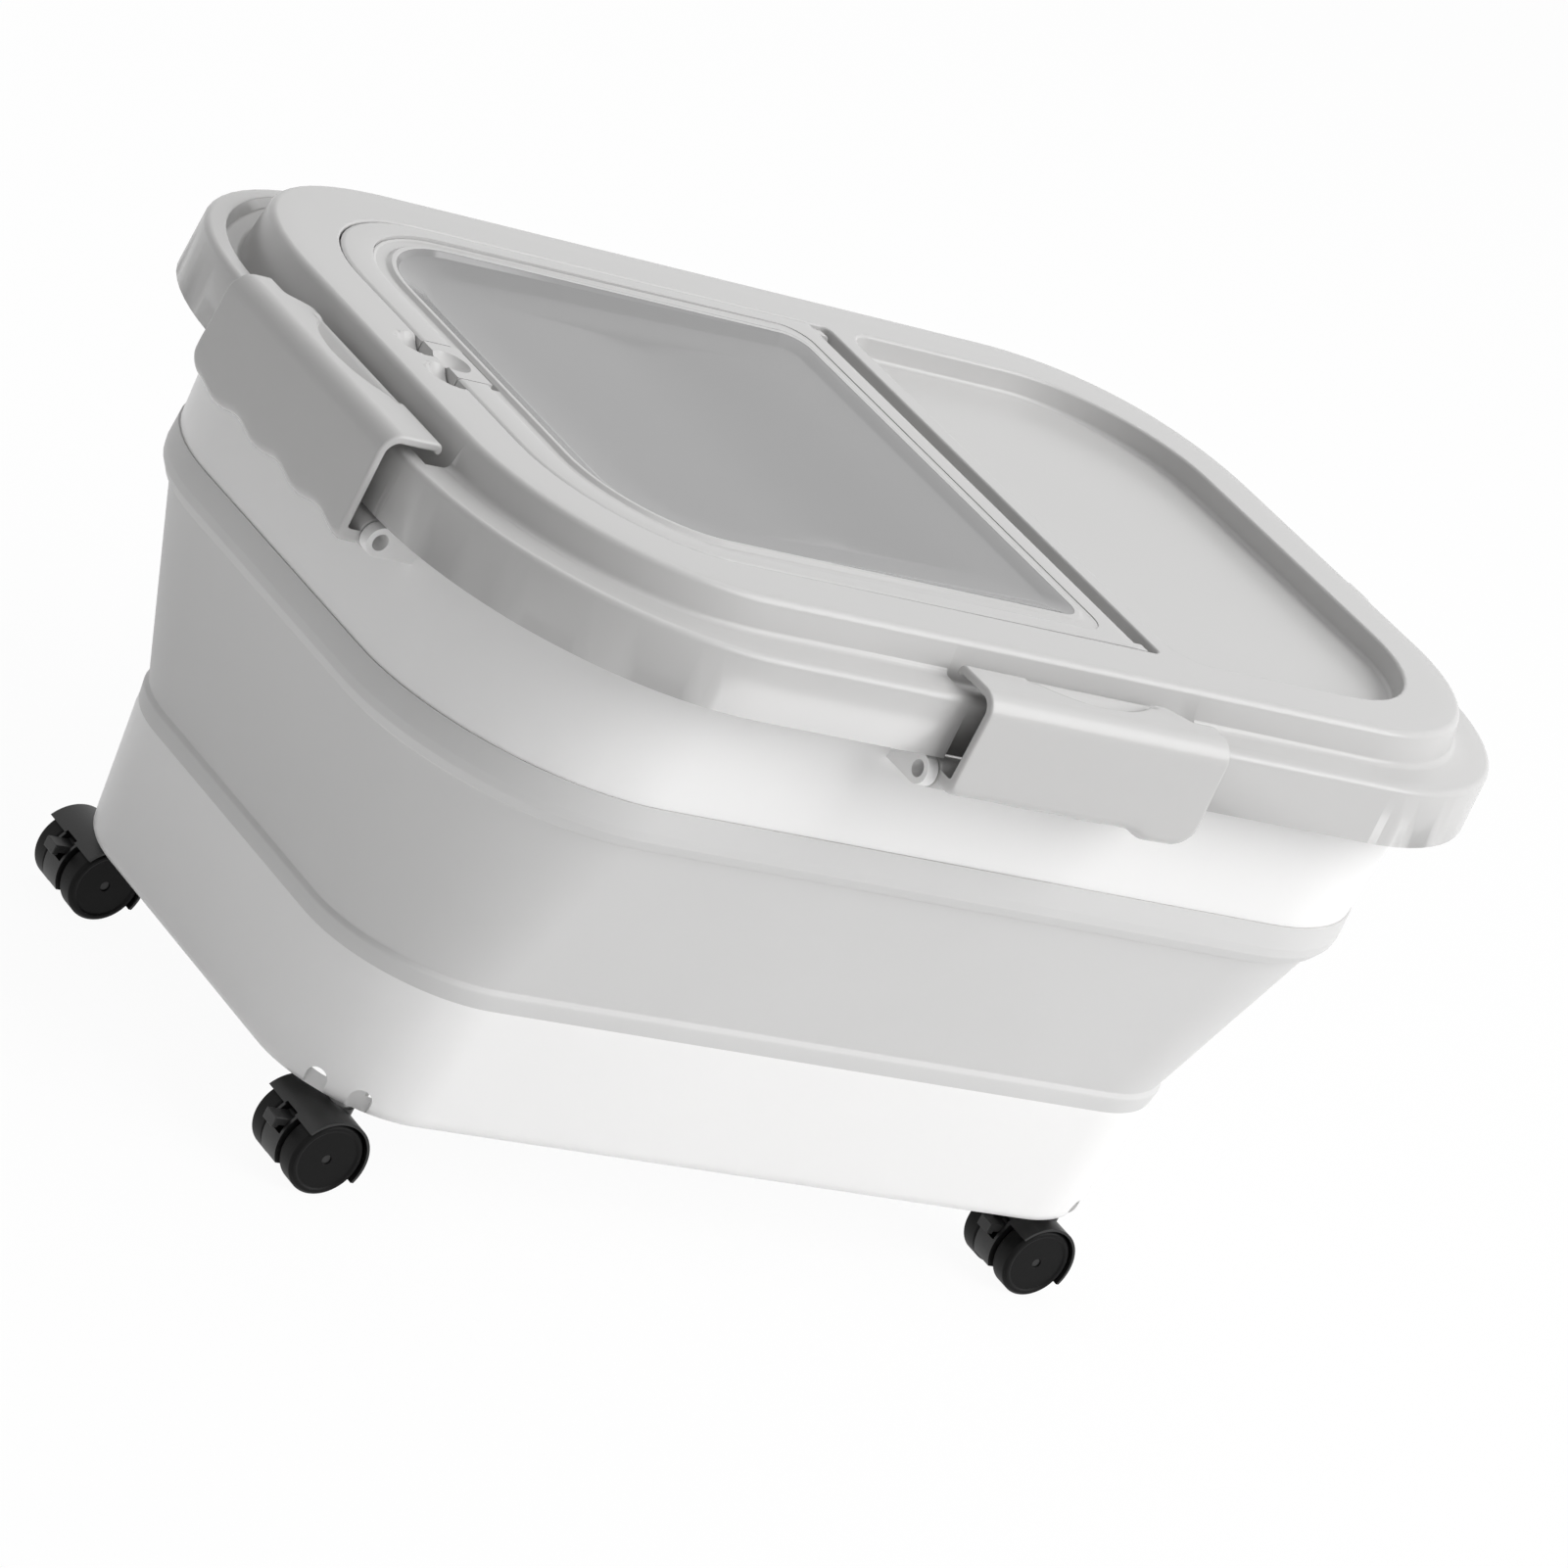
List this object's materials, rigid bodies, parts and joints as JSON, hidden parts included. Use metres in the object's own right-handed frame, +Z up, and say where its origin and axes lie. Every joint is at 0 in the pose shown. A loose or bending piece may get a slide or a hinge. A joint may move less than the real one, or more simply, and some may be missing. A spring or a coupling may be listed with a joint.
{
  "type": "collapsible grain bin",
  "caption": "Collapsible rounded bin for rice or pet food on swivel casters, with side-latched lid and windowed flip door.",
  "frame": {"origin": "centre of the overall footprint on the floor, under the wheels", "axes": "+Z up; X along the length, -X at the flip door's free end; Y across the width, -Y at the near long side"},
  "size_m": [0.436, 0.289, 0.235],
  "materials": {
    "white_shell": "satin",
    "soft_band": "matte",
    "seal": "matte",
    "lid_shell": "satin",
    "window": "clear gloss",
    "caster_black": "satin",
    "wheel_black": "satin",
    "brake_grey": "satin",
    "steel": "brushed"
  },
  "bodies": {
    "tub": {"base_tray": "white_shell", "folding_band": "soft_band"},
    "lid": {"upper_ring": "white_shell", "lid_gasket": "seal", "lid_frame": "lid_shell"},
    "door": {"door_frame": "lid_shell", "door_window": "window", "door_gasket": "seal"},
    "catch": {"door_catch": "lid_shell"},
    "latch_a": {"latch_a": "lid_shell"},
    "latch_b": {"latch_b": "lid_shell"},
    "front_left_caster": {"front_left_stem": "steel", "front_left_hood": "caster_black", "front_left_axle": "steel"},
    "front_left_inner_wheel": {"front_left_inner_wheel": "wheel_black"},
    "front_left_outer_wheel": {"front_left_outer_wheel": "wheel_black"},
    "front_left_brake": {"front_left_brake": "brake_grey"},
    "front_right_caster": {"front_right_stem": "steel", "front_right_hood": "caster_black", "front_right_axle": "steel"},
    "front_right_inner_wheel": {"front_right_inner_wheel": "wheel_black"},
    "front_right_outer_wheel": {"front_right_outer_wheel": "wheel_black"},
    "front_right_brake": {"front_right_brake": "brake_grey"},
    "rear_left_caster": {"rear_left_stem": "steel", "rear_left_hood": "caster_black", "rear_left_axle": "steel"},
    "rear_left_inner_wheel": {"rear_left_inner_wheel": "wheel_black"},
    "rear_left_outer_wheel": {"rear_left_outer_wheel": "wheel_black"},
    "rear_left_brake": {"rear_left_brake": "brake_grey"},
    "rear_right_caster": {"rear_right_stem": "steel", "rear_right_hood": "caster_black", "rear_right_axle": "steel"},
    "rear_right_inner_wheel": {"rear_right_inner_wheel": "wheel_black"},
    "rear_right_outer_wheel": {"rear_right_outer_wheel": "wheel_black"},
    "rear_right_brake": {"rear_right_brake": "brake_grey"}
  },
  "joints": [
    {"name": "collapse", "type": "slide", "parent": "tub", "child": "lid", "axis": [0, 0, -1], "range_m": [0, 0.06], "deforming": ["folding_band"]},
    {"name": "door_hinge", "type": "hinge", "parent": "lid", "child": "door", "pos_m": [0.0451, 0.0045, 0.232], "axis": [0, 1, 0], "range_deg": [0, 100]},
    {"name": "catch_slide", "type": "slide", "parent": "door", "child": "catch", "axis": [1, 0, 0], "range_m": [0, 0.0025], "stiffness_N_per_m": 300, "springref_m": -0.002},
    {"name": "latch_a_swing", "type": "hinge", "parent": "lid", "child": "latch_a", "pos_m": [-0.206, 0.0045, 0.198], "axis": [0, -1, 0], "range_deg": [0, 115]},
    {"name": "latch_b_swing", "type": "hinge", "parent": "lid", "child": "latch_b", "pos_m": [0.0045, -0.1325, 0.198], "axis": [1, 0, 0], "range_deg": [0, 115]},
    {"name": "front_left_swivel", "type": "hinge", "parent": "tub", "child": "front_left_caster", "pos_m": [-0.14, -0.0715, 0.03], "axis": [0, 0, 1], "continuous": true},
    {"name": "front_left_inner_roll", "type": "hinge", "parent": "front_left_caster", "child": "front_left_inner_wheel", "pos_m": [-0.145, -0.0715, 0.0125], "axis": [0, 1, 0], "continuous": true},
    {"name": "front_left_outer_roll", "type": "hinge", "parent": "front_left_caster", "child": "front_left_outer_wheel", "pos_m": [-0.145, -0.0715, 0.0125], "axis": [0, 1, 0], "continuous": true},
    {"name": "front_left_brake_press", "type": "hinge", "parent": "front_left_caster", "child": "front_left_brake", "pos_m": [-0.1525, -0.0715, 0.018], "axis": [0, -1, 0], "range_deg": [0, 10]},
    {"name": "front_right_swivel", "type": "hinge", "parent": "tub", "child": "front_right_caster", "pos_m": [0.149, -0.0715, 0.03], "axis": [0, 0, 1], "continuous": true},
    {"name": "front_right_inner_roll", "type": "hinge", "parent": "front_right_caster", "child": "front_right_inner_wheel", "pos_m": [0.144, -0.0715, 0.0125], "axis": [0, 1, 0], "continuous": true},
    {"name": "front_right_outer_roll", "type": "hinge", "parent": "front_right_caster", "child": "front_right_outer_wheel", "pos_m": [0.144, -0.0715, 0.0125], "axis": [0, 1, 0], "continuous": true},
    {"name": "front_right_brake_press", "type": "hinge", "parent": "front_right_caster", "child": "front_right_brake", "pos_m": [0.1365, -0.0715, 0.018], "axis": [0, -1, 0], "range_deg": [0, 10]},
    {"name": "rear_left_swivel", "type": "hinge", "parent": "tub", "child": "rear_left_caster", "pos_m": [-0.14, 0.0805, 0.03], "axis": [0, 0, 1], "continuous": true},
    {"name": "rear_left_inner_roll", "type": "hinge", "parent": "rear_left_caster", "child": "rear_left_inner_wheel", "pos_m": [-0.145, 0.0805, 0.0125], "axis": [0, 1, 0], "continuous": true},
    {"name": "rear_left_outer_roll", "type": "hinge", "parent": "rear_left_caster", "child": "rear_left_outer_wheel", "pos_m": [-0.145, 0.0805, 0.0125], "axis": [0, 1, 0], "continuous": true},
    {"name": "rear_left_brake_press", "type": "hinge", "parent": "rear_left_caster", "child": "rear_left_brake", "pos_m": [-0.1525, 0.0805, 0.018], "axis": [0, -1, 0], "range_deg": [0, 10]},
    {"name": "rear_right_swivel", "type": "hinge", "parent": "tub", "child": "rear_right_caster", "pos_m": [0.149, 0.0805, 0.03], "axis": [0, 0, 1], "continuous": true},
    {"name": "rear_right_inner_roll", "type": "hinge", "parent": "rear_right_caster", "child": "rear_right_inner_wheel", "pos_m": [0.144, 0.0805, 0.0125], "axis": [0, 1, 0], "continuous": true},
    {"name": "rear_right_outer_roll", "type": "hinge", "parent": "rear_right_caster", "child": "rear_right_outer_wheel", "pos_m": [0.144, 0.0805, 0.0125], "axis": [0, 1, 0], "continuous": true},
    {"name": "rear_right_brake_press", "type": "hinge", "parent": "rear_right_caster", "child": "rear_right_brake", "pos_m": [0.1365, 0.0805, 0.018], "axis": [0, -1, 0], "range_deg": [0, 10]}
  ]
}
